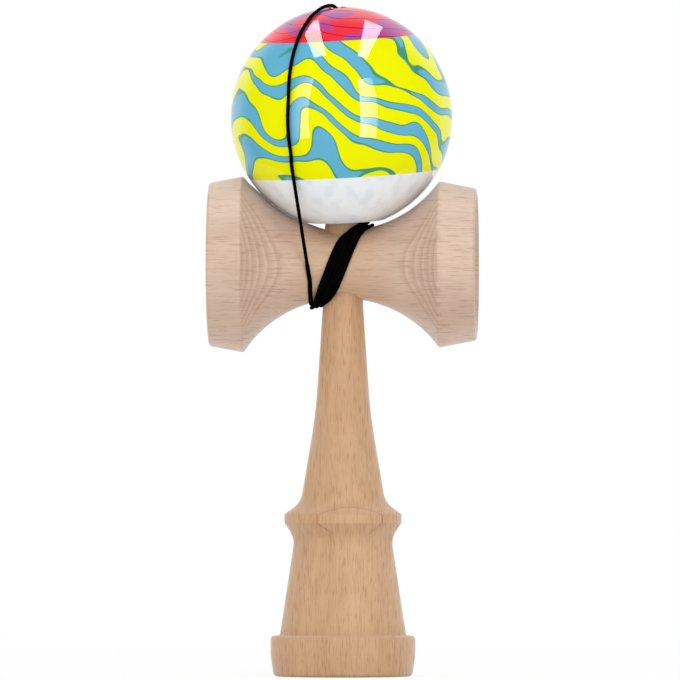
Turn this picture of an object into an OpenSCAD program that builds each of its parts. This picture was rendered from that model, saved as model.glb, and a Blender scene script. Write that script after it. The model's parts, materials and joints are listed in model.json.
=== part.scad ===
// Cup and ball toy: a turned handle with a spike and a base cup, a crosspiece with two
// cups pushed on to its taper, and a drilled ball on a cord.
// Millimetres, +Z up, origin at the middle of the base rim, front towards -Y.

/* [Handle] */
// Largest radius of the base cup
base_r = 19.6; // [19:0.1:22]
// Radius of the base cup at the ground, before its edge is rounded
foot_r = 18.7; // [18:0.1:18.9]
// Height of the base cup
base_h = 11; // [9:0.1:15]
// Height of the widest part of the base cup
belly_h = 5.6; // [5:0.1:7]
// Radius of the dish in the base, at its rim
base_dish_r = 15.9; // [13:0.1:16.2]
// Radius of the skirt where it stands on the base cup
skirt_r = 17.1; // [15:0.1:17.8]
// Height of the skirt, from the base cup to the neck
skirt_h = 26.3; // [20:0.1:32]
// Radius of the neck below the collar
neck_r = 13.1; // [11.5:0.05:14.5]
// Height of the flare from the neck to the collar
neck_h = 4.3; // [3.5:0.1:8]
// Radius of the collar
collar_r = 15.85; // [15:0.05:18]
// Height of the collar's flat band
collar_h = 2.25; // [1.5:0.05:4]
// Height of the shoulder from the collar to the grip
shoulder_h = 3.2; // [2.5:0.05:6]
// Radius at the foot of the grip
grip_r = 11.45; // [9.5:0.05:12]
// Height of the grip's straight taper
grip_h = 23.95; // [16:0.05:30]
// Radius at the top of the grip
grip_top_r = 7.4; // [6.5:0.1:8.5]
// Height from the top of the grip to the crosspiece's middle
shaft_h = 40.4; // [32:0.1:50]
// Radius of the taper below the crosspiece
seat_low_r = 5.38; // [5:0.01:5.7]
// Radius of the taper above the crosspiece
seat_top_r = 4.86; // [4.4:0.01:4.95]
// Height of the taper that the crosspiece sits on
seat_h = 20; // [18:0.5:24]
// Height of the spike's tip above the crosspiece's middle
spike_h = 42; // [34:0.5:46]
// Radius of the spike's rounded tip
spike_tip_r = 2.3; // [1.6:0.1:3]
// Radius of the cross hole that holds the cord's knot
knot_hole_r = 1.7; // [1.6:0.05:2]

/* [Handle edges] */
// Rounding of the ground edge
foot_round = 1.3; // [0.5:0.1:2]
// Rounding of the base cup's belly
belly_round = 25; // [10:1:40]
// Rounding of the base cup's upper edge
ledge_round = 1; // [0.3:0.1:1.2]
// Hollow where the skirt meets the base cup
skirt_round = 0.7; // [0.3:0.1:1.2]
// Hollow of the neck
neck_round = 7; // [3:0.5:10]
// Rounding of the collar's edges
collar_round = 0.55; // [0.2:0.05:0.9]
// Hollow of the shoulder
shoulder_round = 6.8; // [3:0.1:8]
// Hollow where the grip runs into the slim shaft
grip_round = 140; // [60:5:200]

/* [Crosspiece] */
// Length over both rims
cross_l = 72.4; // [66:0.1:80]
// Radius of the waist
waist_r = 9.2; // [9:0.05:10.5]
// Radius of the saddle's hollow over the ball's radius
saddle_relief = 2.2; // [1.8:0.1:4]
// Radius of the large cup's ridge
big_ridge_r = 23.8; // [22.5:0.1:25]
// Radius of the small cup's ridge
small_ridge_r = 22.5; // [21:0.1:24]
// Radius of the large cup at its rim
big_rim_r = 22.05; // [20:0.05:23]
// Radius of the small cup at its rim
small_rim_r = 20.5; // [18:0.1:21.5]
// Width of the rims
rim_w = 1.6; // [1.2:0.1:2.5]
// Rounding of the rims' outer edges
rim_round = 0.9; // [0.3:0.1:1.1]
// Rounding of the ridges
ridge_round = 0.8; // [0.3:0.1:1.2]
// Radius of the cups' dishes under the ball's radius
dish_relief = 2.5; // [1.5:0.1:4]
// Radius of the hole that the cord goes in by
string_hole_r = 1.1; // [0.8:0.05:1.3]
// Drop of that hole below the crosspiece's middle
string_hole_drop = 4.5; // [4.3:0.1:4.7]
// Radius of that hole's eased mouth
string_mouth_r = 3; // [2:0.1:3.5]

/* [Ball] */
// Radius of the ball
ball_r = 30; // [28:0.5:32]
// Radius of the hole for the spike
hole_r = 10.5; // [10:0.1:11.5]
// Bevel of that hole's mouth
hole_bevel = 0.6; // [0.3:0.1:1.2]
// Radius of the hole for the cord in the ball's top
top_hole_r = 1.75; // [1.2:0.05:2.2]
// Radius of that hole's eased mouth
top_mouth_r = 3.2; // [2.4:0.1:4]
// Lean of the ball towards the front, in degrees
lean_front = 5; // [0:0.5:6]
// Lean of the ball towards the large cup, in degrees
lean_side = 2.4; // [0:0.1:4]
// Shift of the ball towards the large cup
ball_shift = 0.4; // [0:0.1:0.8]
// Radius of the bead inside the ball
bead_r = 4; // [3:0.1:5]

/* [Cord] */
// Diameter of the cord
cord_d = 0.95; // [0.8:0.05:1]
// Radius of the knots
knot_r = 1.4; // [1.2:0.05:1.5]
// Times that the winding crosses the front
passes = 5; // [3:1:5]
// Step from pass to pass where they lie side by side in front
front_step = 1.58; // [1.56:0.01:1.8]
// Step from pass to pass where they lie in two layers
pile_step = 0.9; // [0.88:0.01:0.95]
// Step from the lower layer to the upper one
layer_step = 1.36; // [1.35:0.01:1.5]
// Shift of the winding's middle towards the large cup, in front
wind_shift = 1; // [0.6:0.1:1.4]
// How far the winding's even slant reaches each way from its middle
wind_reach = 5.6; // [5:0.1:6.2]

/* [Clearances] */
// Crosspiece to the handle's taper
taper_gap = 0.1; // [0.05:0.01:0.2]
// Ball to the saddle
seat_gap = 0.5; // [0.3:0.05:0.6]
// Cord to the wood that it lies on
lay_gap = 0.25; // [0.2:0.05:0.4]
// Cord to the ball that it runs over
run_gap = 0.3; // [0.25:0.05:0.5]
// Winding to the handle's shaft and spike
shaft_gap = 0.55; // [0.45:0.05:0.8]
// Bead to the wood above it
bead_gap = 0.3; // [0.2:0.05:0.5]
// Bead to the cord through it
thread_gap = 0.15; // [0.1:0.05:0.3]
// Spike's tip to the knot under the bead
tip_gap = 1.6; // [1:0.1:3]

/* [Hidden] */
$fn = 96;

// Steps in each rounded corner of a turned outline, and in the saddle's hollow
corner_steps = 8;
saddle_steps = 28;
// Most of an outline's edge that one rounding may take
corner_share = 0.45;
// How far cutting shapes run past the faces that they cut
over = 1;

// Heights up the handle
neck_z = base_h + skirt_h;
collar_z = neck_z + neck_h;
shoulder_z = collar_z + collar_h;
grip_z = shoulder_z + shoulder_h;
grip_top_z = grip_z + grip_h;
cross_z = grip_top_z + shaft_h;
tip_z = cross_z + spike_h;
string_z = cross_z - string_hole_drop;

// The saddle is an arc about a point above the crosspiece's axis
saddle_r = ball_r + saddle_relief;
saddle_mid = waist_r + saddle_r;
dish_r = ball_r - dish_relief;

// The ball's middle, its leaning axis, and the bore's ends along that axis
ball_z = cross_z + saddle_mid - sqrt((saddle_relief - seat_gap)^2 - ball_shift^2);
ball_at = [-ball_shift, 0, ball_z];
ball_turn = [lean_front, -lean_side, 0];
ball_axis = [-cos(lean_front) * sin(lean_side), -sin(lean_front), cos(lean_front) * cos(lean_side)];
mouth_r = hole_r + hole_bevel;
mouth_h = sqrt(ball_r^2 - mouth_r^2);
bead_drop = sqrt(bead_r^2 - top_hole_r^2) + bead_gap;
knot_at = tip_z - ball_z + tip_gap + knot_r;
bead_at = knot_at + knot_r + bead_r;
hole_end = bead_at + bead_drop;
bead_hole_r = cord_d / 2 + thread_gap;
knot_flat = sqrt(knot_r^2 - (cord_d / 2)^2);
top_mouth_h = top_mouth_r - top_hole_r;

// Radius of the handle's taper at a height, and of the waist along the crosspiece
function taper_r(z) =
    seat_low_r + (seat_top_r - seat_low_r) * (z - cross_z + seat_h / 2) / seat_h;
function saddle(x) = saddle_mid - sqrt(saddle_r^2 - x^2);

// Points of an outline whose corners are [radius, height, rounding]
function unit(v) = v / norm(v);
function flat(p) = [p[0], p[1]];
function arc_turn(a) = a > 180 ? a - 360 : a < -180 ? a + 360 : a;
function corner(a, b, c, rounding) =
    let (u = unit(a - b), v = unit(c - b), half = acos(u * v) / 2,
         reach = min(rounding / tan(half), corner_share * norm(a - b), corner_share * norm(c - b)),
         r = reach * tan(half), mid = b + unit(u + v) * r / sin(half),
         from = b + u * reach - mid, to = b + v * reach - mid,
         start = atan2(from[1], from[0]),
         turn = arc_turn(atan2(to[1], to[0]) - start))
    [for (i = [0:corner_steps]) let (a = start + turn * i / corner_steps) mid + r * [cos(a), sin(a)]];
function rounded(p) =
    [for (i = [0:len(p) - 1])
        each p[i][2] == 0 ? [flat(p[i])] :
            corner(flat(p[i - 1]), flat(p[i]), flat(p[i + 1]), p[i][2])];

// Cord lying on the ball, by its height and its side angle in degrees
function on_ball(lift, side) =
    ball_at + (ball_r + cord_d / 2 + run_gap)
        * [cos(lift) * sin(side), -cos(lift) * cos(side), sin(lift)];
function on_axis(h) = ball_at + ball_axis * h;
function bend(p, n) =
    [for (i = [0:n]) let (u = i / n) p[0] * (1 - u)^2 + p[1] * 2 * u * (1 - u) + p[2] * u^2];
function sweep(p, n) =
    [for (i = [0:n]) let (u = i / n)
        p[0] * (1 - u)^3 + p[1] * 3 * u * (1 - u)^2 + p[2] * 3 * u^2 * (1 - u) + p[3] * u^3];
function spread(p, n) =
    [for (i = [0:len(p) - 2], k = [0:n - 1]) p[i] + (p[i + 1] - p[i]) * k / n];

// The winding: turn 0 is the first pass over the front, and turn 1/4 is under the crosspiece.
// It slants evenly over the front and draws in further to pass the spike above and the shaft
// below. It starts just below the front, a turn before the first pass, lies over the other
// strands under the crosspiece, falls in beside them at the back, and ends low down there.
loop_rings = 24;
kink = 0.98;
tuck_power = 4;
spread_power = 2;
drop_power = 6;
start_angle = 26;
under_angle = 90;
end_angle = 106;
first_over = 3;
first_lift = 1.2;
pile_half = (passes - 1) / 2 * pile_step + pile_step / 4;
top_side = taper_r(cross_z + seat_h / 2) + shaft_gap + cord_d / 2 + pile_half;
low_side = taper_r(cross_z - seat_h / 2) + shaft_gap + cord_d / 2 + pile_half;
top_tuck = top_side + wind_shift - wind_reach;
low_tuck = low_side - wind_shift - wind_reach;
land_turn = start_angle / 360 - 1;
low_turn = under_angle / 360 - 1;
end_turn = passes - 1 + end_angle / 360;

function ahead(a) = max(0, cos(a));
function draw_in(a) = sin(a) > 0 ? top_tuck : -low_tuck;
function sway(a) =
    wind_reach * asin(kink * sin(a)) / asin(kink) + draw_in(a) * abs(sin(a))^tuck_power;
function strand(turn) = turn - (passes - 1) / 2;
function fall(u) = (1 + cos(180 * max(0, min(1, u)))) / 2;
function beside(turn) = fall(4 * (turn - low_turn));
function above(turn) = first_lift * fall(4 * (turn - low_turn) - 1);
function wind_x(turn) =
    let (t = max(turn, low_turn), a = -360 * t)
    sway(a) - wind_shift + first_over * pile_step * beside(turn)
        + strand(t) * (pile_step + (front_step - pile_step) * ahead(a)^spread_power);
function layers(turn) = abs(floor(turn)) % 2 + above(turn);
function wind_point(turn) =
    let (a = -360 * turn, x = wind_x(turn),
         lift = layer_step * layers(turn) * (1 - ahead(a)^drop_power),
         r = saddle(x) + cord_d / 2 + lay_gap + lift)
    [x, -r * cos(a), cross_z + r * sin(a)];

// Where the cord lies on the ball, from its top down to where it leaves it: [height, side]
run_route = [[75, -40], [69, -35], [62, -33], [55, -31], [48, -30], [40, -29], [30, -28],
             [20, -27], [10, -26], [0, -26], [-10, -26], [-20, -26], [-26, -27]];
route_rings = 2;
run_leave = run_route[len(run_route) - 1];
leave_point = on_ball(run_leave[0], run_leave[1]);
land_point = wind_point(land_turn);
wind_start = land_point + unit(leave_point - land_point) * 2 * cord_d;
straight_rings = 12;
bend_rings = 6;

// The cord's ends: out of the ball's top, and into the crosspiece
exit_h = ball_r - top_mouth_h - cord_d;
exit_rise = 1.6 * cord_d;
run_first = run_route[0];
exit_bend = [on_axis(exit_h + cord_d), on_axis(ball_r + exit_rise), on_ball(run_first[0], run_first[1])];
entry_y = waist_r - 2 * cord_d;
entry_r = 2 * cord_d;
entry_mouth = waist_r - cord_d;
entry_slack = [1, 0, -4] * cord_d;
entry_from = wind_point(end_turn);
entry_way = unit(entry_from - wind_point(end_turn - 1 / loop_rings));
entry_low = [0, entry_mouth + entry_r, string_z - entry_r];
entry_curve = [entry_from, entry_from + entry_way * cord_d, entry_low + entry_slack, entry_low];
entry_turn = [for (i = [1:bend_rings]) let (a = 90 * i / bend_rings)
    [0, entry_mouth + entry_r * cos(a), string_z - entry_r + entry_r * sin(a)]];
anchor_y = taper_r(string_z) - cord_d - knot_r;

run_path = concat(
    [on_axis(exit_h)], bend(exit_bend, bend_rings),
    [for (p = spread(run_route, route_rings)) if (p != run_first) on_ball(p[0], p[1])],
    spread([leave_point, wind_start], straight_rings), [wind_start]);
wind_path = concat(
    [wind_start],
    [for (i = [0:floor((end_turn - land_turn) * loop_rings)]) wind_point(land_turn + i / loop_rings)],
    sweep(entry_curve, bend_rings), entry_turn, [[0, entry_y, string_z], [0, entry_y - cord_d, string_z]]);

// Least distance from the winding's points to its other passes
function to_segment(q, a, b) =
    let (s = b - a, u = max(0, min(1, (q - a) * s / (s * s)))) norm(q - a - s * u);
near_rings = loop_rings / 2;
wind_gap = min([for (i = [0:len(wind_path) - 1], j = [0:len(wind_path) - 2])
    if (abs(i - j) > near_rings) to_segment(wind_path[i], wind_path[j], wind_path[j + 1])]) - cord_d;
echo(least_gap_of_winding = wind_gap);

// A tube along points, with rings that turn as little as they can from a first direction
run_sides = 8;
wind_sides = 6;
first_side = [1, 0.3, 0.2];
function heading(p, i) = unit(p[min(i + 1, len(p) - 1)] - p[max(i - 1, 0)]);
function square_to(t, v) = unit(v - t * (v * t));
function sides_of(p) =
    [for (i = 0, n = square_to(heading(p, 0), first_side); i < len(p);
          n = square_to(heading(p, min(i + 1, len(p) - 1)), n), i = i + 1) n];
module tube(p, sides) {
    across = sides_of(p);
    points = [for (i = [0:len(p) - 1], k = [0:sides - 1])
        let (n = across[i], b = cross(heading(p, i), n), a = 360 * k / sides)
        p[i] + cord_d / 2 * (n * cos(a) + b * sin(a))];
    last = (len(p) - 1) * sides;
    walls = [for (i = [0:len(p) - 2], k = [0:sides - 1])
        let (a = i * sides + k, b = i * sides + (k + 1) % sides)
        each [[a, a + sides, b], [b, a + sides, b + sides]]];
    ends = [for (k = [1:sides - 2])
        each [[0, k, k + 1], [last, last + k + 1, last + k]]];
    polyhedron(points, concat(walls, ends));
}

module at_ball() {
    translate(ball_at) rotate(ball_turn) children();
}

module handle() {
    outline = rounded([
        [0, 0, 0], [foot_r, 0, foot_round], [base_r, belly_h, belly_round],
        [base_r, base_h, ledge_round], [skirt_r, base_h, skirt_round], [neck_r, neck_z, neck_round],
        [collar_r, collar_z, collar_round], [collar_r, shoulder_z, collar_round],
        [grip_r, grip_z, shoulder_round], [grip_top_r, grip_top_z, grip_round],
        [seat_low_r, cross_z - seat_h / 2, 0], [seat_top_r, cross_z + seat_h / 2, 0],
        [spike_tip_r, tip_z, spike_tip_r], [0, tip_z, 0]]);
    color("#cba582") difference() {
        rotate_extrude() polygon(outline);
        translate([0, 0, -sqrt(dish_r^2 - base_dish_r^2)]) sphere(dish_r);
        translate([0, seat_low_r + over, string_z])
            rotate([90, 0, 0]) cylinder(h = 2 * (seat_low_r + over), r = knot_hole_r);
    }
}

module crosspiece() {
    half_l = cross_l / 2;
    big_angle = acos((saddle_mid - big_ridge_r) / saddle_r);
    small_angle = acos((saddle_mid - small_ridge_r) / saddle_r);
    hollow = [for (i = [0:saddle_steps])
        let (a = -big_angle + (big_angle + small_angle) * i / saddle_steps,
             edge = i == 0 || i == saddle_steps ? ridge_round : 0)
        [saddle_mid - saddle_r * cos(a), saddle_r * sin(a), edge]];
    outline = rounded(concat(
        [[0, -half_l, 0], [big_rim_r, -half_l, rim_round]], hollow,
        [[small_rim_r, half_l, rim_round], [0, half_l, 0]]));
    big_dish = sqrt(dish_r^2 - (big_rim_r - rim_w)^2);
    small_dish = sqrt(dish_r^2 - (small_rim_r - rim_w)^2);
    bore_h = 2 * (waist_r + over);
    bore_z = cross_z - bore_h / 2;
    mouth_d = string_mouth_r - string_hole_r;
    color("#d9bfa9") difference() {
        translate([0, 0, cross_z]) rotate([0, 90, 0]) rotate_extrude() polygon(outline);
        translate([-half_l - big_dish, 0, cross_z]) sphere(dish_r);
        translate([half_l + small_dish, 0, cross_z]) sphere(dish_r);
        translate([0, 0, bore_z]) cylinder(
            h = bore_h, r1 = taper_r(bore_z) + taper_gap, r2 = taper_r(bore_z + bore_h) + taper_gap);
        translate([0, 0, string_z]) rotate([-90, 0, 0]) cylinder(h = waist_r + over, r = string_hole_r);
        translate([0, waist_r - mouth_d, string_z]) rotate([-90, 0, 0])
            cylinder(h = mouth_d + over, r1 = string_hole_r, r2 = string_mouth_r + over);
    }
}

module ball() {
    bore = [[0, -ball_r - over], [mouth_r + over, -ball_r - over], [mouth_r + over, -mouth_h - over],
            [hole_r, -mouth_h + hole_bevel], [hole_r, hole_end], [top_hole_r, hole_end],
            [top_hole_r, ball_r - top_mouth_h], [top_mouth_r + over, ball_r + over], [0, ball_r + over]];
    color("#e9d64a") at_ball() difference() {
        sphere(ball_r);
        rotate_extrude() polygon(bore);
    }
}

module bead() {
    color("#e8e4da") at_ball() translate([0, 0, bead_at]) difference() {
        sphere(bead_r);
        cylinder(h = 2 * (bead_r + over), r = bead_hole_r, center = true);
    }
}

// A drawn-up knot, with a flat where the cord leaves it
module knot() {
    difference() {
        sphere(knot_r);
        translate([0, 0, knot_flat]) cylinder(h = over, r = knot_r);
    }
}

module bead_knot() {
    color("#1b1b1d") at_ball() translate([0, 0, knot_at]) knot();
}

module ball_cord() {
    low = knot_at + knot_flat;
    color("#1b1b1d") at_ball() translate([0, 0, low]) cylinder(h = exit_h - low, d = cord_d);
}

module cord_run() {
    color("#1b1b1d") tube(run_path, run_sides);
}

module cord_winding() {
    color("#1b1b1d") tube(wind_path, wind_sides);
}

module anchor_cord() {
    inner = anchor_y + knot_flat;
    color("#1b1b1d") translate([0, inner, string_z])
        rotate([-90, 0, 0]) cylinder(h = entry_y - cord_d - inner, d = cord_d);
}

module anchor_knot() {
    color("#1b1b1d") translate([0, anchor_y, string_z]) rotate([-90, 0, 0]) knot();
}

handle();
crosspiece();
ball();
bead();
bead_knot();
ball_cord();
cord_run();
cord_winding();
anchor_cord();
anchor_knot();
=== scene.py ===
import json
import math
from typing import NamedTuple
import bmesh
import bpy
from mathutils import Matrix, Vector

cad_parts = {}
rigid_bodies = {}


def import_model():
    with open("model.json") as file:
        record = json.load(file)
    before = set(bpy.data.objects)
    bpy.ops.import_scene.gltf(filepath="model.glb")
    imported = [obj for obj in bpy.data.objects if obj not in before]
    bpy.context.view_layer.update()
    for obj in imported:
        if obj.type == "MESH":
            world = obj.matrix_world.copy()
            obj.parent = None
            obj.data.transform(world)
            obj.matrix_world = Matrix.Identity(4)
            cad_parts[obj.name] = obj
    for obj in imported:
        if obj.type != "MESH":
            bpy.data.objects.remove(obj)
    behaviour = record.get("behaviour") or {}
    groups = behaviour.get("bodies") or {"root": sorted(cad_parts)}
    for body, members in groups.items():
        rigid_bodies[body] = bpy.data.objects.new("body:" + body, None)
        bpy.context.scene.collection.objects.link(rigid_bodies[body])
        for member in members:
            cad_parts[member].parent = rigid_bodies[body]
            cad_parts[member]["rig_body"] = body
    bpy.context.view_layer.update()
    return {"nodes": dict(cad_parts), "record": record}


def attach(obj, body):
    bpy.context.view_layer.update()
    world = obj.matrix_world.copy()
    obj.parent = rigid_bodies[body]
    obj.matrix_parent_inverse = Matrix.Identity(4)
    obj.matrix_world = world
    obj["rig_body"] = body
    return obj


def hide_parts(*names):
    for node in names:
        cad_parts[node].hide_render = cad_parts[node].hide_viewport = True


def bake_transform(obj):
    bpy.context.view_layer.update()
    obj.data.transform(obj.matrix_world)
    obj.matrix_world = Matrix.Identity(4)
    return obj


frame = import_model()

MM = 0.001


def srgb(red, green, blue):
    """A colour written in 0 to 255, as linear values."""
    def linear(c):
        c /= 255
        return c / 12.92 if c <= 0.04045 else ((c + 0.055) / 1.055) ** 2.4
    return (linear(red), linear(green), linear(blue), 1.0)


# Sizes of the toy in millimetres, as its solids have them

spin = next(j for j in frame["record"]["behaviour"]["joints"] if j["name"] == "ball_spin")
BALL_AT = Vector(spin["pos_m"]) / MM
BALL_AXIS = Vector(spin["axis"]).normalized()
BALL_R = 30.0
CROSS_Z = 111.4  # the crosspiece's axis
WAIST_R = 9.2
SADDLE_R = 32.2  # the arc that hollows the crosspiece
SADDLE_MID = WAIST_R + SADDLE_R  # the middle of that arc, from the axis
BIG_RIDGE_R = 23.8  # the large cup's ridge
RIDGE_X = math.sqrt(SADDLE_R ** 2 - (SADDLE_MID - BIG_RIDGE_R) ** 2)
TAPER_TOP_R = 4.86  # the handle's taper above the crosspiece
TAPER_LOW_R = 5.38  # and below it
STRING_Z = 106.9  # the cord's hole at the back of the crosspiece
KNOT_R = 1.4
BEAD_KNOT_H = 5.252  # along the ball's axis, from the ball's middle
ANCHOR_Y = 2.887  # the knot in the handle

# The turned pieces' smooth copies, in millimetres and degrees

WELD = 0.002  # points nearer than this become one
SHARP_ANGLE = 24  # edges sharper than this stay edges
SEAT_GAP = 0.05  # between the ball and the left of the saddle, which is raised to it
SEAT_SKIN = 0.05  # how near the saddle's arc a point lies to be raised
SEAT_FADE = 4.5  # the rise's fade along the crosspiece
SEAT_ARC = 75  # its end round the crosspiece, from the top
SEAT_FADE_ARC = 50  # its fade up to there

# The cord, whose strands lie closer together than the solids' do, in millimetres

CORD_D = 0.95
RUN_GAP = 0.1  # to the ball
LAY_GAP = 0.04  # to the waist
SHAFT_GAP = 0.15  # to the spike and the shaft
PASSES = 5  # over the front
FRONT_STEP = 1.18  # from strand to strand over the front
COLUMN_STEP = 1.22  # from strand to strand beside the spike and the shaft
LAYER_STEP = 0.97  # from the inner to the outer layer there
WIND_SHIFT = 1.08  # of the whole winding, towards the large cup
WIND_REACH = 5.57  # of its slant, to each side
KINK = 0.98  # how sharply the slant turns back, up to 1
TUCK_POWER = 12  # how short the stretch is that gives way to the spike and the shaft
DROP_POWER = 2  # how near the front the outer layer comes down to the wood
WIDER = 0.26  # shares by which a flattened strand is wider and thinner
THINNER = 0.14
SPREAD_FROM = 30  # degrees from the front where the strands leave their places side by side
SPREAD_TO = 100
PRESS_FROM = 60  # degrees from the front where they stop being flattened
PRESS_TO = 130
PILE_HALF = COLUMN_STEP + CORD_D / 2
TOP_TUCK = TAPER_TOP_R + SHAFT_GAP + PILE_HALF + WIND_SHIFT - WIND_REACH
LOW_TUCK = TAPER_LOW_R + SHAFT_GAP + PILE_HALF - WIND_SHIFT - WIND_REACH
LAND_TURN = 26 / 360 - 1  # where the fall meets the waist, just under the front
LOW_TURN = 90 / 360 - 1  # underneath, where the slant starts
END_TURN = PASSES - 1 + 106 / 360  # past underneath, at the back
LOOP_POINTS = 48  # in a turn
# The run down the ball: height over the ball's middle and side from the front, both in degrees
RUN_ROUTE = [(75, -40), (69, -35), (62, -33), (55, -31), (48, -30), (40, -29), (30, -28),
             (20, -27), (10, -26), (0, -26), (-10, -26), (-20, -26), (-26, -27)]
EXIT_H = 27.6  # along the ball's axis, just below where the cord starts to bend over
EXIT_RISE = 1.6 * CORD_D  # how far over the ball the bend reaches out
ENTRY_Y = WAIST_R - 2 * CORD_D
ENTRY_R = 2.2 * CORD_D  # the bend into the hole at the back
ENTRY_SLACK = Vector((0.0, 1.0, -5.0))  # how far the way there is drawn out and down
ANCHOR_TAIL = 0.6  # from the middle of the knot in the handle to the end that it holds
BEND_POINTS = 8
RING_STEP = 0.22
CORD_SIDES = 16
BRAID_RIDGES = 4  # round the cord
BRAID_PITCH = 1.3
BRAID_RELIEF = 0.06  # share of the radius
KNOT_STRAND_R = 0.4
KNOT_POINTS = 72
KNOT_REACH = 3  # of the knot's curve, before it is scaled
KNOT_DEPTH = 1.3
CORD_DARK = srgb(2, 2, 2)
CORD_LIGHT = srgb(9, 9, 10)
CORD_GRAIN = (4000.0, 12.0, 1.0)  # fibres in a metre of cord, and round it
CORD_GRAIN_LEVELS = (0.4, 0.8)

# The ball's paint, with heights and places in shares of the ball's radius from its middle

YELLOW = srgb(238, 240, 4)
SKY = srgb(100, 178, 208)
TEAL = srgb(72, 152, 118)
RED = srgb(244, 52, 70)
PURPLE = srgb(180, 76, 152)
MAROON = srgb(84, 16, 44)
WHITE = srgb(240, 244, 246)
SHADE = srgb(219, 223, 233)
BAND_AXIS = Vector((-0.0525, -0.0567, 0.997)).normalized()
CAP_EDGE = 0.7156
FOOT_EDGE = -0.5085
EDGE_SOFT = 0.003
PAINT_DEPTH = (0.985, 0.992)  # bare wood below, paint above
RIBBON_WAY = (1.3, 0.9, 3.4)  # across the ribbons
RIBBON_COUNT = 0.95
RIBBON_BEND = 5.2  # how far a broad noise and a fine one carry the ribbons
RIBBON_BEND_SCALE = 1.15
RIBBON_CURL = 0.8
RIBBON_CURL_SCALE = 2.6
RIBBON_CURL_AT = (3.1, 5.7, 2.4)  # where the noise is read, so that it differs from the others
RIBBON_SWELL = -2.4  # how much a noise widens and narrows them
RIBBON_SWELL_SCALE = 2.1
RIBBON_SWELL_AT = (7.3, 1.9, 4.4)
RIBBON_LEVEL = 1.5
RIBBON_EDGE = (-0.03, 0.03)
OUTLINE_IN = (-0.08, 0.0)
OUTLINE_OUT = (0.32, 0.22)
PATCH_SHAPE = (1.6, 1.6, 5.0)
PATCH_SCALE = 1.4
PATCH_LEVELS = (0.52, 0.56)
CAP_LINE_WAY = (0.6, 0.3, 13.0)  # across the cap's thin lines
CAP_LINE_BEND = 2.2
CAP_LINE_SCALE = 1.8
CAP_LINE_AT = (2.2, 8.1, 0.7)
CAP_LINE_EDGE = (0.055, 0.02)
CAP_LINE_SHARE = 0.85
BRUSH_SHAPE = (9.0, 9.0, 1.6)
BRUSH_LEVELS = (0.45, 0.68)
BRUSH_SHARE = 0.45

# Marks in the wood: the levels of a noise at which each comes in, and its share of the dark tone

DRIFT_LEVELS = (0.35, 0.65)
STREAK_LEVELS = (0.35, 0.7)
STREAK_SHARE = 0.08
FIBRE_LEVELS = (0.4, 0.75)
FIBRE_SHARE = 0.1
FIBRE_RELIEF = 0.35
FLECK_LEVELS = (0.57, 0.68)
FLECK_DEEP = 8.0
LINE_LEVELS = (0.5, 0.72)
LINE_SHARE = 0.16
LINE_LONGER = 3  # than a fleck
LINE_WIDER = 1.5
BOLD_EDGE = (0.25, 0.05)  # millimetres from the bold line's middle
BOLD_FADE = 4
BOLD_SHARE = 0.45
# Painted shade: a warmer, darker tone painted over the crosspiece's middle, under the ball, fading out
# towards the cups
MIDDLE_SHADE_REACH = (17.0, 3.0)  # millimetres from the crosspiece's middle
MIDDLE_SHADE_SHARE = 0.9
WOOD_ROUGH = 0.52
FLECK_ROUGH = 0.15

# Growth layers: where in a layer, from 0 to 1, its pale first wood and its dark last wood come and go

EARLY_IN = (0.0, 0.1)
EARLY_OUT = (0.4, 0.12)
EARLY_RATIO = 2.4  # of the pale share to the dark one
LATE_IN = (0.1, 0.88)
LATE_OUT = (1.0, 0.9)
NOISE_MIDDLE = 0.5
LAYER_WANDER = 2.0  # in millimetres, as are the fades
LAYER_FADE = 1.5
LAYER_END_FADE = 1

# The stage in metres, and the view as the photograph frames it

PHOTO_PX = 680
PX_MM = 0.2705
AXIS_PX = 343.0
GROUND_PX = 676.3
CAM_DISTANCE = 4.5
CAM_SIDE = math.radians(2.3)
CAM_CLIP = (0.05, 20)
SENSOR = 36.0
FLOOR_HALF = 4.0
FLOOR_COLOUR = (0.96, 0.96, 0.96, 1)
FLOOR_SHADE = 0.12  # the share that takes shadows
SHADOW_REACH = 0.6
AMBIENT = 0.88
FRONT_DARK = 0.03
BACK_EDGE = (0.3, 0.75)  # Y of the direction, where reflections turn from dark to white
# Each lamp's place and watts
LAMPS = (("key", (0.15, -1.1, 1.4), 6.0), ("fill", (-0.3, -2.0, 0.15), 2.5))
LAMP_AIM = (0, 0, 0.1)
LAMP_SIZE = 0.9
# Each strip's two sides at its near end and at its far end
STRIPS = (("strip_left", (-0.265, -0.14), (-0.28, -0.16)),
          ("strip_right", (0.168, 0.272), (0.123, 0.254)))
STRIP_NEAR = -0.25
STRIP_FAR = 0.455
STRIP_RISE = 0.6  # over the ball's middle
STRIP_GLOW = (13.0, 5.5)  # at its near end and at its far end
# Each panel's two sides, in degrees from the front, and its glow at each
PANELS = (("panel_left", (-50, -31), (0.5, 6.0)),
          ("panel_right", (21, 39), (11.0, 4.0)))
PANEL_AWAY = 0.36
PANEL_LOW = 0.02
PANEL_HIGH = 0.43


class Beech(NamedTuple):
    """A piece's wood: the way of its grain, its tones, its flecks and its growth layers, and the colour
    of a painted shade over its middle.
    """
    grain: str
    pale: tuple
    base: tuple
    dark: tuple
    fleck_mm: float
    fleck_fine: float
    fleck_share: float
    layer_way: tuple
    layer_mm: float
    layer_share: float
    layer_near: float
    layer_end: float
    gloss: float = 0.22
    # painted shade: a warmer, darker tone painted over the piece's middle, under the ball
    middle_shade: tuple = None
    bold_mm: float = None
    bold_from: float = 0.0


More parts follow.
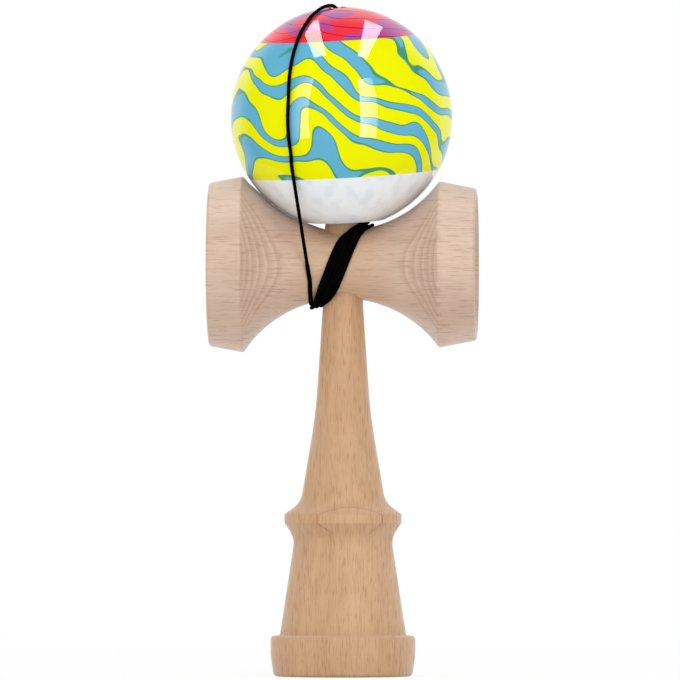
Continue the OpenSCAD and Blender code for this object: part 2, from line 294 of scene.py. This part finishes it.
CROSS_BEECH = Beech(
    grain="X", pale=srgb(211, 184, 163), base=srgb(204, 174, 152), dark=srgb(150, 108, 80),
    fleck_mm=5.0, fleck_fine=0.3, fleck_share=0.34,
    layer_way=(0, -1, 0), layer_mm=1.8, layer_share=0.26, layer_near=12.5, layer_end=26.5,
    # the last colour is painted shade: a warmer, darker tone over the crosspiece's middle, under the
    # ball
    gloss=0.55, middle_shade=srgb(206, 169, 135))
HANDLE_BEECH = Beech(
    grain="Z", pale=srgb(207, 169, 132), base=srgb(202, 162, 124), dark=srgb(150, 98, 58),
    fleck_mm=3.6, fleck_fine=0.22, fleck_share=0.42,
    layer_way=(0.16, -0.987, 0), layer_mm=2.6, layer_share=0.05, layer_near=3.0, layer_end=200.0,
    bold_mm=13.2, bold_from=37.0)
HOLE_BEECH = Beech(
    grain="Z", pale=srgb(222, 190, 158), base=srgb(208, 172, 138), dark=srgb(160, 118, 86),
    fleck_mm=4.0, fleck_fine=0.25, fleck_share=0.3,
    layer_way=(0, -1, 0), layer_mm=2.4, layer_share=0.2, layer_near=0.0, layer_end=200.0)
BEAD_BEECH = Beech(
    grain="Z", pale=srgb(228, 206, 176), base=srgb(216, 190, 156), dark=srgb(176, 140, 104),
    fleck_mm=2.0, fleck_fine=0.2, fleck_share=0.3,
    layer_way=(0, -1, 0), layer_mm=1.8, layer_share=0.2, layer_near=0.0, layer_end=200.0)


# Materials

class Shader:
    """The nodes of a material or of the world, with short calls for the kinds that are used."""

    def __init__(self, owner):
        owner.use_nodes = True
        self.owner = owner
        self.tree = owner.node_tree
        self.surface = self.tree.nodes.get("Principled BSDF")

    def put(self, socket, value):
        if isinstance(value, bpy.types.NodeSocket):
            self.tree.links.new(value, socket)
        else:
            socket.default_value = value

    def node(self, kind, inputs=(), **settings):
        made = self.tree.nodes.new("ShaderNode" + kind)
        for key, value in settings.items():
            setattr(made, key, value)
        for key, value in dict(inputs).items():
            self.put(made.inputs[key], value)
        return made

    def math(self, operation, *values):
        return self.node("Math", enumerate(values), operation=operation).outputs[0]

    def vector(self, operation, *values):
        return self.node("VectorMath", enumerate(values), operation=operation).outputs[0]

    def scaled(self, vector, factor):
        return self.node("VectorMath", {0: vector, "Scale": factor}, operation="SCALE").outputs[0]

    def dot(self, a, b):
        return self.node("VectorMath", {0: a, 1: b}, operation="DOT_PRODUCT").outputs["Value"]

    def length(self, vector):
        return self.node("VectorMath", {0: vector}, operation="LENGTH").outputs["Value"]

    def noise(self, vector, scale, detail):
        return self.node("TexNoise", {"Vector": vector, "Scale": scale, "Detail": detail}).outputs[0]

    def step(self, value, low, high, first=0.0, last=1.0):
        """The first value as far as low, the last one from high on, and a smooth change between. Low may
        be above high."""
        inputs = {"Value": value, "From Min": low, "From Max": high, "To Min": first, "To Max": last}
        return self.node("MapRange", inputs, interpolation_type="SMOOTHSTEP").outputs[0]

    def mix(self, factor, a, b):
        """A mix of two colours, which go in by the node's sockets 6 and 7."""
        return self.node("Mix", {0: factor, 6: a, 7: b}, data_type="RGBA").outputs[2]

    def mix_numbers(self, factor, a, b):
        """A mix of two numbers, which go in by the node's sockets 2 and 3."""
        return self.node("Mix", {0: factor, 2: a, 3: b}, data_type="FLOAT").outputs[0]

    def tint(self, colour, mask, share, other):
        """The colour with a share of another one where the mask is 1."""
        return self.mix(self.math("MULTIPLY", mask, share), colour, other)

    def place(self):
        """Where the point is on the piece, in metres in the toy's frame."""
        return self.node("TexCoord").outputs["Object"]

    def millimetres(self):
        """The same in millimetres."""
        return self.scaled(self.place(), 1 / MM)

    def drawn_out(self, place, grain, long_mm, deep_mm, fine_mm):
        """A noise's place, scaled in millimetres along the grain, through the layers and across both."""
        scale = [1 / fine_mm, 1 / deep_mm, 1 / fine_mm]
        scale["XYZ".index(grain)] = 1 / long_mm
        return self.vector("MULTIPLY", place, scale)

    def seen(self):
        """1 for what the camera sees, directly or through glass."""
        rays = self.node("LightPath").outputs
        return self.math("MAXIMUM", rays["Is Camera Ray"], rays["Is Transmission Ray"])

    def bump(self, height, distance, strength):
        inputs = {"Height": height, "Distance": distance * MM, "Strength": strength}
        self.put(self.surface.inputs["Normal"], self.node("Bump", inputs).outputs[0])

    def set(self, **values):
        for key, value in values.items():
            self.put(self.surface.inputs[key.replace("_", " ")], value)

    def show(self, node):
        """Makes a node the material's surface, in place of the usual one."""
        self.put(self.tree.nodes["Material Output"].inputs["Surface"], node.outputs[0])


def material_shader(name):
    """The nodes of a new material."""
    return Shader(bpy.data.materials.new(name))


def growth_layers(shader, place, beech, along, drift):
    """Masks of the layers' pale first wood and darker last wood, and of one bold line."""
    wander = shader.math("MULTIPLY", shader.math("SUBTRACT", drift, NOISE_MIDDLE), LAYER_WANDER)
    depth = shader.math("ADD", shader.dot(place, beech.layer_way), wander)
    layer = shader.math("FRACT", shader.math("DIVIDE", depth, beech.layer_mm))
    deep = shader.step(shader.math("ABSOLUTE", depth), beech.layer_near, beech.layer_near + LAYER_FADE)
    inner = shader.step(along, beech.layer_end + LAYER_END_FADE, beech.layer_end)
    shown = shader.math("MULTIPLY", deep, inner)
    early = shader.math("MULTIPLY", shader.step(layer, *EARLY_IN), shader.step(layer, *EARLY_OUT))
    late = shader.math("MULTIPLY", shader.step(layer, *LATE_IN), shader.step(layer, *LATE_OUT))
    bold = None
    if beech.bold_mm:
        off = shader.math("ABSOLUTE", shader.math("SUBTRACT", depth, beech.bold_mm))
        beyond = shader.step(along, beech.bold_from, beech.bold_from + BOLD_FADE)
        bold = shader.math("MULTIPLY", shader.step(off, *BOLD_EDGE), beyond)
    return shader.math("MULTIPLY", early, shown), shader.math("MULTIPLY", late, shown), bold


def wood_colour(shader, place, beech):
    """Beech: faint growth layers, short dark flecks, fine fibres and a broad drift of tone, with a
    warmer painted shade over the middle where the piece has one. Gives its colour, its relief and where
    its flecks are."""
    def figure(long_mm, deep_mm, fine_mm, detail):
        drawn = shader.drawn_out(place, beech.grain, long_mm, deep_mm, fine_mm)
        return shader.noise(drawn, scale=1.0, detail=detail)
    drift = figure(long_mm=70.0, deep_mm=16.0, fine_mm=16.0, detail=2.0)
    streaks = figure(long_mm=24.0, deep_mm=4.0, fine_mm=0.9, detail=2.0)
    fibres = figure(long_mm=2.4, deep_mm=0.3, fine_mm=0.14, detail=2.0)
    flecks = figure(beech.fleck_mm, FLECK_DEEP, beech.fleck_fine, detail=1.0)
    flecks = shader.step(flecks, *FLECK_LEVELS)
    lines = figure(beech.fleck_mm * LINE_LONGER, FLECK_DEEP, beech.fleck_fine * LINE_WIDER, detail=1.0)
    lines = shader.step(lines, *LINE_LEVELS)
    way = [1.0 if axis == beech.grain else 0.0 for axis in "XYZ"]
    along = shader.math("ABSOLUTE", shader.dot(place, way))
    early, late, bold = growth_layers(shader, place, beech, along, drift)
    tone = shader.mix(shader.step(drift, *DRIFT_LEVELS), beech.base, beech.pale)
    # Painted shade: a warmer, darker tone over the middle of the crosspiece, where it lies under the
    # ball
    if beech.middle_shade:
        tone = shader.tint(tone, shader.step(along, *MIDDLE_SHADE_REACH), MIDDLE_SHADE_SHARE, beech.middle_shade)
    tone = shader.tint(tone, shader.step(streaks, *STREAK_LEVELS), STREAK_SHARE, beech.dark)
    tone = shader.tint(tone, early, min(1, beech.layer_share * EARLY_RATIO), beech.pale)
    tone = shader.tint(tone, late, beech.layer_share, beech.dark)
    tone = shader.tint(tone, shader.step(fibres, *FIBRE_LEVELS), FIBRE_SHARE, beech.dark)
    tone = shader.tint(tone, lines, LINE_SHARE, beech.dark)
    tone = shader.tint(tone, flecks, beech.fleck_share, beech.dark)
    if bold:
        tone = shader.tint(tone, bold, BOLD_SHARE, beech.dark)
    relief = shader.math("SUBTRACT", shader.math("MULTIPLY", fibres, FIBRE_RELIEF), flecks)
    return tone, relief, flecks


def wood(name, beech):
    """Sanded bare beech, rougher in its flecks."""
    shader = material_shader(name)
    tone, relief, flecks = wood_colour(shader, shader.millimetres(), beech)
    rough = shader.math("MULTIPLY_ADD", flecks, FLECK_ROUGH, WOOD_ROUGH)
    shader.set(Base_Color=tone, Roughness=rough, Specular_IOR_Level=beech.gloss,
               Sheen_Weight=0.5, Sheen_Roughness=0.4)
    shader.bump(relief, distance=0.05, strength=0.3)
    return shader.owner


def ribbon_masks(shader, point):
    """Where the band's marbled ribbons and their thin outlines are."""
    bends = shader.noise(point, RIBBON_BEND_SCALE, detail=1.0)
    curls = shader.noise(shader.vector("ADD", point, RIBBON_CURL_AT), RIBBON_CURL_SCALE, detail=1.0)
    flow = shader.dot(point, RIBBON_WAY)
    flow = shader.math("MULTIPLY_ADD", bends, RIBBON_BEND, flow)
    flow = shader.math("MULTIPLY_ADD", curls, RIBBON_CURL, flow)
    wave = shader.math("SINE", shader.math("MULTIPLY", flow, math.tau * RIBBON_COUNT))
    swell = shader.noise(shader.vector("ADD", point, RIBBON_SWELL_AT), RIBBON_SWELL_SCALE, detail=0.0)
    level = shader.math("MULTIPLY_ADD", swell, RIBBON_SWELL, RIBBON_LEVEL)
    over = shader.math("SUBTRACT", wave, level)
    ribbons = shader.step(over, *RIBBON_EDGE)
    outlines = shader.math("MULTIPLY", shader.step(over, *OUTLINE_IN), shader.step(over, *OUTLINE_OUT))
    return ribbons, outlines


def cap_colour(shader, point):
    """Red with purple patches and thin dark lines."""
    patches = shader.noise(shader.vector("MULTIPLY", point, PATCH_SHAPE), PATCH_SCALE, detail=1.0)
    colour = shader.mix(shader.step(patches, *PATCH_LEVELS), RED, PURPLE)
    bends = shader.noise(shader.vector("ADD", point, CAP_LINE_AT), CAP_LINE_SCALE, detail=1.0)
    rise = shader.math("MULTIPLY_ADD", bends, CAP_LINE_BEND, shader.dot(point, CAP_LINE_WAY))
    off = shader.math("ABSOLUTE", shader.math("SUBTRACT", shader.math("FRACT", rise), 0.5))
    return shader.tint(colour, shader.step(off, *CAP_LINE_EDGE), CAP_LINE_SHARE, MAROON)


def foot_colour(shader, point):
    """White with faint brushed streaks."""
    streaks = shader.noise(shader.vector("MULTIPLY", point, BRUSH_SHAPE), scale=1.0, detail=2.0)
    return shader.tint(WHITE, shader.step(streaks, *BRUSH_LEVELS), BRUSH_SHARE, SHADE)


def lacquer():
    """The ball: a red cap, a yellow band with blue ribbons and a white foot under clear gloss, and
    bare wood in its hole."""
    shader = material_shader("ball_lacquer")
    place = shader.millimetres()
    point = shader.scaled(shader.vector("SUBTRACT", place, BALL_AT), 1 / BALL_R)
    height = shader.dot(point, BAND_AXIS)
    ribbons, outlines = ribbon_masks(shader, point)
    band = shader.mix(ribbons, YELLOW, SKY)
    band = shader.mix(outlines, band, TEAL)
    in_cap = shader.step(height, CAP_EDGE - EDGE_SOFT, CAP_EDGE + EDGE_SOFT)
    in_foot = shader.step(height, FOOT_EDGE + EDGE_SOFT, FOOT_EDGE - EDGE_SOFT)
    paint = shader.mix(in_cap, band, cap_colour(shader, point))
    paint = shader.mix(in_foot, paint, foot_colour(shader, point))
    tone = wood_colour(shader, place, HOLE_BEECH)[0]
    painted = shader.step(shader.length(point), *PAINT_DEPTH)
    shader.set(Base_Color=shader.mix(painted, tone, paint), Roughness=0.4, Coat_Weight=painted,
               Coat_Roughness=0.02, Coat_IOR=1.5, Specular_IOR_Level=0.0)
    return shader.owner


def cord_black():
    """Braided cord: black, a little lighter in some of its fibres."""
    shader = material_shader("cord")
    uv = shader.node("UVMap").outputs[0]
    grain = shader.noise(shader.vector("MULTIPLY", uv, CORD_GRAIN), scale=1.0, detail=2.0)
    tone = shader.mix(shader.step(grain, *CORD_GRAIN_LEVELS), CORD_DARK, CORD_LIGHT)
    shader.set(Base_Color=tone, Roughness=0.85, Specular_IOR_Level=0.02)
    return shader.owner


cross_wood = wood("crosspiece_wood", CROSS_BEECH)
handle_wood = wood("handle_wood", HANDLE_BEECH)
bead_wood = wood("bead_wood", BEAD_BEECH)
ball_paint = lacquer()
cord_cloth = cord_black()


# Turned pieces

def add_piece(name, mesh, material):
    """An object of this mesh, in one material and shaded smooth."""
    mesh.materials.clear()
    mesh.materials.append(material)
    mesh.polygons.foreach_set("use_smooth", [True] * len(mesh.polygons))
    piece = bpy.data.objects.new(name, mesh)
    bpy.context.scene.collection.objects.link(piece)
    return piece


def add_mesh(name, verts, faces, material):
    mesh = bpy.data.meshes.new(name)
    mesh.from_pydata(verts, [], faces)
    return add_piece(name, mesh, material)


def smooth(u):
    """A smooth rise from 0 to 1 as u goes from 0 to 1."""
    u = min(max(u, 0), 1)
    return u * u * (3 - 2 * u)


def saddle(x):
    """The crosspiece's radius along its hollow."""
    return SADDLE_MID - math.sqrt(max(0, SADDLE_R ** 2 - x ** 2))


def from_axis(p):
    """The way to a point from the crosspiece's axis, straight out."""
    return p - Vector((p.x, 0, CROSS_Z))


def seated(p):
    """A point of the crosspiece, raised to the ball where the ball leans on the left of the saddle."""
    out = from_axis(p)
    if abs(out.length - saddle(p.x)) > SEAT_SKIN:
        return p
    around = math.degrees(out.angle(Vector((0, 0, 1))))
    share = smooth((SEAT_ARC - around) / SEAT_FADE_ARC)
    share *= smooth((p.x + RIDGE_X) / SEAT_FADE) * smooth((-TAPER_TOP_R - p.x) / SEAT_FADE)
    to_ball = BALL_AT - Vector((p.x, 0, CROSS_Z + saddle(p.x)))
    rise = to_ball.normalized() * (to_ball.length - BALL_R - SEAT_GAP) * share
    return p + Vector((rise.x, 0, 0)) + out.normalized() * rise.z


def turned(node, name, material, shaped=None):
    """A turned piece: the solid's own surface, welded and shaded smooth over its small steps, with its
    points moved by shaped."""
    mesh = frame["nodes"][node].data.copy()
    mesh.name = name
    shape = bmesh.new()
    shape.from_mesh(mesh)
    bmesh.ops.remove_doubles(shape, verts=shape.verts, dist=WELD * MM)
    if shaped:
        for vert in shape.verts:
            vert.co = shaped(vert.co / MM) * MM
    shape.to_mesh(mesh)
    shape.free()
    if "custom_normal" in mesh.attributes:
        mesh.attributes.remove(mesh.attributes["custom_normal"])
    piece = add_piece(name, mesh, material)
    mesh.set_sharp_from_angle(angle=math.radians(SHARP_ANGLE))
    weighted = piece.modifiers.new("smooth", "WEIGHTED_NORMAL")
    weighted.keep_sharp = True
    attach(piece, frame["nodes"][node]["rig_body"])
    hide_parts(node)


turned("handle", "turned_handle", handle_wood)
turned("crosspiece", "turned_crosspiece", cross_wood, seated)
for node, material in (("ball", ball_paint), ("bead", bead_wood)):
    frame["nodes"][node].data.materials.clear()
    frame["nodes"][node].data.materials.append(material)


# Cord

def on_ball(lift, side):
    """A point of the cord that lies on the ball, by its height and its side angle in degrees."""
    lift, side = math.radians(lift), math.radians(side)
    out = Vector((math.cos(lift) * math.sin(side), -math.cos(lift) * math.cos(side), math.sin(lift)))
    return BALL_AT + out * (BALL_R + CORD_D / 2 + RUN_GAP)


def on_axis(height):
    """A point on the ball's axis, by its height over the ball's middle."""
    return BALL_AT + BALL_AXIS * height


def at_hole(y):
    """A point on the axis of the hole that the cord goes in by, at the back of the crosspiece."""
    return Vector((0, y, STRING_Z))


def frontal(cosine, first, last):
    """1 round the front of the waist up to the first angle in degrees, and 0 from the last one on."""
    angle = math.degrees(math.acos(min(max(cosine, -1), 1)))
    return 1 - smooth((angle - first) / (last - first))


def wind_x(turn):
    """Where the winding is along the crosspiece: an even slant in front, and three columns that clear
    the spike above and the shaft below."""
    late = max(turn, LOW_TURN)
    a = -math.tau * late
    tuck = TOP_TUCK if math.sin(a) > 0 else -LOW_TUCK
    sway = WIND_REACH * math.asin(KINK * math.sin(a)) / math.asin(KINK)
    sway += tuck * abs(math.sin(a)) ** TUCK_POWER
    beside = (late - (PASSES - 1) / 2) * FRONT_STEP
    column = ((math.floor(late) + 1) // 2 - 1) * COLUMN_STEP
    front = frontal(math.cos(a), SPREAD_FROM, SPREAD_TO)
    return sway - WIND_SHIFT + beside * front + column * (1 - front)


def wind_point(turn):
    """The winding: turn 0 is the first pass over the front, and a quarter turn on is underneath. Beside
    the spike and the shaft it lies two deep."""
    a = -math.tau * turn
    x = wind_x(turn)
    layer = (math.floor(turn) + 1) % 2
    lift = LAYER_STEP * layer * (1 - max(0, math.cos(a)) ** DROP_POWER)
    half = CORD_D / 2 * (1 - THINNER * frontal(math.cos(a), PRESS_FROM, PRESS_TO))
    r = saddle(x) + half + LAY_GAP + lift
    return Vector((x, -r * math.cos(a), CROSS_Z + r * math.sin(a)))


def pressed(p):
    """How flat the cord is pressed there: fully over the front of the waist, not at all off the wood."""
    out = from_axis(p)
    lying = 1 - smooth((out.length - saddle(p.x)) / CORD_D - 1)
    return lying * frontal(-out.y / out.length, PRESS_FROM, PRESS_TO)


def bend(points):
    """A Bezier curve on three or four points."""
    order = len(points) - 1

    def at(u):
        place = Vector((0, 0, 0))
        for k, p in enumerate(points):
            place += p * (math.comb(order, k) * (1 - u) ** (order - k) * u ** k)
        return place
    return [at(i / BEND_POINTS) for i in range(BEND_POINTS + 1)]


def exit_points():
    """From the knot under the bead, up the ball's axis and over on to its outside."""
    inside = [on_axis(BEAD_KNOT_H + KNOT_R), on_axis((BEAD_KNOT_H + EXIT_H) / 2), on_axis(EXIT_H)]
    over = [on_axis(EXIT_H + CORD_D), on_axis(BALL_R + EXIT_RISE), on_ball(*RUN_ROUTE[0])]
    return inside + bend(over)


def fall_points():
    """The straight fall from the ball to the winding."""
    leave = on_ball(*RUN_ROUTE[-1])
    land = wind_point(LAND_TURN)
    return [leave + (land - leave) * (k / BEND_POINTS) for k in range(1, BEND_POINTS)]


def entry_points():
    """From the end of the winding, out and round into the hole at the back."""
    start = wind_point(END_TURN)
    way = (start - wind_point(END_TURN - 1 / LOOP_POINTS)).normalized()
    middle = at_hole(WAIST_R - CORD_D) - Vector((0, 0, ENTRY_R))
    low = middle + Vector((0, ENTRY_R, 0))
    swing = [middle + Vector((0, math.cos(a), math.sin(a))) * ENTRY_R
             for a in (math.pi / 2 * k / BEND_POINTS for k in range(1, BEND_POINTS + 1))]
    inside = [at_hole(ENTRY_Y), at_hole(ENTRY_Y - CORD_D)]
    return bend([start, start + way, low + ENTRY_SLACK, low]) + swing + inside


def smooth_line(points):
    """A curve through the points, with even steps along it."""
    dense = []
    for i in range(len(points) - 1):
        before, a = points[max(i - 1, 0)], points[i]
        b, after = points[i + 1], points[min(i + 2, len(points) - 1)]
        steps = max(2, int((b - a).length / RING_STEP * 2))
        for k in range(steps):
            u = k / steps
            dense.append(0.5 * (2 * a + (b - before) * u
                                + (2 * before - 5 * a + 4 * b - after) * u ** 2
                                + (3 * a - before - 3 * b + after) * u ** 3))
    dense.append(points[-1])
    line, gone = [dense[0]], 0.0
    for a, b in zip(dense, dense[1:]):
        gone += (b - a).length
        if gone >= RING_STEP:
            line.append(b)
            gone = 0.0
    return line


def tube_faces(count, closed):
    """The faces of a tube of so many rings, with flat ends unless it is closed."""
    sides = CORD_SIDES
    faces = []
    for i in range(count if closed else count - 1):
        j = (i + 1) % count
        for k in range(sides):
            m = (k + 1) % sides
            faces.append((i * sides + k, i * sides + m, j * sides + m, j * sides + k))
    if not closed:
        faces.append(tuple(reversed(range(sides))))
        faces.append(tuple(range((count - 1) * sides, count * sides)))
    return faces


def tube(name, line, radius, braid, closed=False):
    """A braided tube along a line in millimetres, with rings that turn as little as they can."""
    count = len(line)
    verts, uvs = [], []
    across = None
    gone = 0.0
    for i, p in enumerate(line):
        after = line[(i + 1) % count] if closed else line[min(i + 1, count - 1)]
        before = line[i - 1] if closed else line[max(i - 1, 0)]
        ahead = (after - before).normalized()
        if across is None:
            across = ahead.orthogonal()
        across = (across - ahead * across.dot(ahead)).normalized()
        up = ahead.cross(across)
        if i:
            gone += (p - line[i - 1]).length
        out = from_axis(p)
        out = (out - ahead * out.dot(ahead)).normalized()
        side = ahead.cross(out)
        flat = pressed(p)
        weave = math.cos(math.tau * gone / BRAID_PITCH)
        for k in range(CORD_SIDES):
            a = math.tau * k / CORD_SIDES
            r = radius * (1 + braid * math.cos(BRAID_RIDGES * a) * weave)
            ring = across * (r * math.cos(a)) + up * (r * math.sin(a))
            ring += (side * (ring.dot(side) * WIDER) - out * (ring.dot(out) * THINNER)) * flat
            verts.append((p + ring) * MM)
            uvs.append((gone * MM, k / CORD_SIDES))
    piece = add_mesh(name, verts, tube_faces(count, closed), cord_cloth)
    layer = piece.data.uv_layers.new(name="UVMap")
    for loop in piece.data.loops:
        layer.data[loop.index].uv = uvs[loop.vertex_index]
    return piece


def overhand(name, middle, node, body):
    """A drawn-up overhand knot of the cord, as a closed trefoil."""
    points = []
    for i in range(KNOT_POINTS):
        t = math.tau * i / KNOT_POINTS
        x = math.sin(t) + 2 * math.sin(2 * t)
        y = math.cos(t) - 2 * math.cos(2 * t)
        z = -KNOT_DEPTH * math.sin(3 * t)
        points.append(middle + Vector((x, y, z)) * (KNOT_R - KNOT_STRAND_R) / KNOT_REACH)
    knot = tube(name, points, KNOT_STRAND_R, 0.0, closed=True)
    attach(knot, body)
    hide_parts(node)
    return knot


turns = int((END_TURN - LAND_TURN) * LOOP_POINTS)
winding = [wind_point(LAND_TURN + i / LOOP_POINTS) for i in range(turns + 1)]
route = [on_ball(*p) for p in RUN_ROUTE[1:]]
cord_line = smooth_line(exit_points() + route + fall_points() + winding + entry_points()[1:])
cord = tube("cord", cord_line, CORD_D / 2, BRAID_RELIEF)
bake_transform(cord)
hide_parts("cord_run", "cord_winding", "ball_cord")

anchor_ends = [at_hole(ANCHOR_Y + ANCHOR_TAIL), at_hole(ENTRY_Y - CORD_D)]
anchor = tube("anchor_cord_end", smooth_line(anchor_ends), CORD_D / 2, BRAID_RELIEF)
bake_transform(anchor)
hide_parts("anchor_cord")

bead_knot = overhand("bead_knot_tied", on_axis(BEAD_KNOT_H), "bead_knot", "cord_top")
overhand("anchor_knot_tied", at_hole(ANCHOR_Y), "anchor_knot", "handle")


# Stage, light and camera

def make_floor():
    """A pale floor, not in reflections: white to the camera, apart from the share near the toy that
    takes its shadow."""
    corners = [(-FLOOR_HALF, -FLOOR_HALF, 0), (FLOOR_HALF, -FLOOR_HALF, 0),
               (FLOOR_HALF, FLOOR_HALF, 0), (-FLOOR_HALF, FLOOR_HALF, 0)]
    shader = material_shader("floor")
    shader.set(Base_Color=FLOOR_COLOUR, Roughness=0.9, Specular_IOR_Level=0.0)
    shaded = shader.step(shader.length(shader.place()), SHADOW_REACH, SHADOW_REACH / 2)
    white = shader.math("MULTIPLY_ADD", shaded, -FLOOR_SHADE, 1.0)
    share = shader.math("MULTIPLY", shader.seen(), white)
    glow = shader.node("Emission", {"Strength": 1.0})
    shader.show(shader.node("MixShader", {0: share, 1: shader.surface.outputs[0], 2: glow.outputs[0]}))
    floor = add_mesh("floor", corners, [(0, 1, 2, 3)], shader.owner)
    floor.visible_glossy = False


def make_world():
    """Even light, white to the camera, and reflected white behind the toy and dark in front of it."""
    shader = Shader(bpy.data.worlds.new("studio"))
    way = shader.node("SeparateXYZ", {0: shader.node("TexCoord").outputs["Generated"]})
    reflected = shader.step(way.outputs["Y"], *BACK_EDGE, first=FRONT_DARK, last=1.0)
    glossy = shader.node("LightPath").outputs["Is Glossy Ray"]
    level = shader.mix_numbers(shader.seen(), shader.mix_numbers(glossy, AMBIENT, reflected), 1.0)
    back = shader.tree.nodes["Background"]
    shader.put(back.inputs["Color"], (1, 1, 1, 1))
    shader.put(back.inputs["Strength"], level)
    bpy.context.scene.world = shader.owner


def soft_light(name, at, watts):
    lamp = bpy.data.lights.new(name, "AREA")
    lamp.size = LAMP_SIZE
    lamp.energy = watts
    light = bpy.data.objects.new(name, lamp)
    light.location = at
    light.rotation_euler = (Vector(LAMP_AIM) - Vector(at)).to_track_quat("-Z", "Y").to_euler()
    light.visible_glossy = False
    bpy.context.scene.collection.objects.link(light)


def glow_card(name, corners, first, last):
    """A softbox that shows in the lacquer: a card that only reflections see, whose glow changes from its
    first two corners to its last two."""
    shader = material_shader(name)
    uv = shader.node("SeparateXYZ", {0: shader.node("UVMap").outputs[0]}).outputs["X"]
    strength = shader.node("MapRange", {"Value": uv, "To Min": first, "To Max": last}).outputs[0]
    shader.show(shader.node("Emission", {"Strength": strength}))
    card = add_mesh(name, corners, [(0, 1, 2, 3)], shader.owner)
    layer = card.data.uv_layers.new(name="UVMap")
    for loop, u in zip(layer.data, (0, 0, 1, 1)):
        loop.uv = (u, 0)
    for unseen in ("camera", "diffuse", "transmission", "volume_scatter", "shadow"):
        setattr(card, "visible_" + unseen, False)


def make_cards():
    """Two strips over the toy, from near to far, and two panels in front of it, from left to right."""
    top = BALL_AT.z * MM + STRIP_RISE
    for name, (a, b), (c, d) in STRIPS:
        near = [(a, STRIP_NEAR, top), (b, STRIP_NEAR, top)]
        far = [(d, STRIP_FAR, top), (c, STRIP_FAR, top)]
        glow_card(name, near + far, *STRIP_GLOW)
    low, high = Vector((0, 0, PANEL_LOW)), Vector((0, 0, PANEL_HIGH))
    for name, sides, glow in PANELS:
        a, b = (Vector((math.sin(t), -math.cos(t), 0)) * PANEL_AWAY for t in map(math.radians, sides))
        glow_card(name, [a + low, a + high, b + high, b + low], *glow)


def make_camera():
    """The photograph's view, from far off and a little from the right."""
    data = bpy.data.cameras.new("camera")
    camera = bpy.data.objects.new("camera", data)
    right = Vector((math.cos(CAM_SIDE), math.sin(CAM_SIDE), 0))
    forward = Vector((-math.sin(CAM_SIDE), math.cos(CAM_SIDE), 0))
    middle = PHOTO_PX / 2
    target = right * ((middle - AXIS_PX) * PX_MM * MM)
    target += Vector((0, 0, (GROUND_PX - middle) * PX_MM * MM))
    camera.location = target - forward * CAM_DISTANCE
    camera.rotation_euler = forward.to_track_quat("-Z", "Y").to_euler()
    data.sensor_width = SENSOR
    data.lens = SENSOR * CAM_DISTANCE / (PHOTO_PX * PX_MM * MM)
    data.clip_start, data.clip_end = CAM_CLIP
    bpy.context.scene.collection.objects.link(camera)
    bpy.context.scene.camera = camera


make_floor()
make_world()
for name, at, watts in LAMPS:
    soft_light(name, at, watts)
make_cards()
make_camera()
bpy.context.scene.view_settings.view_transform = "Standard"
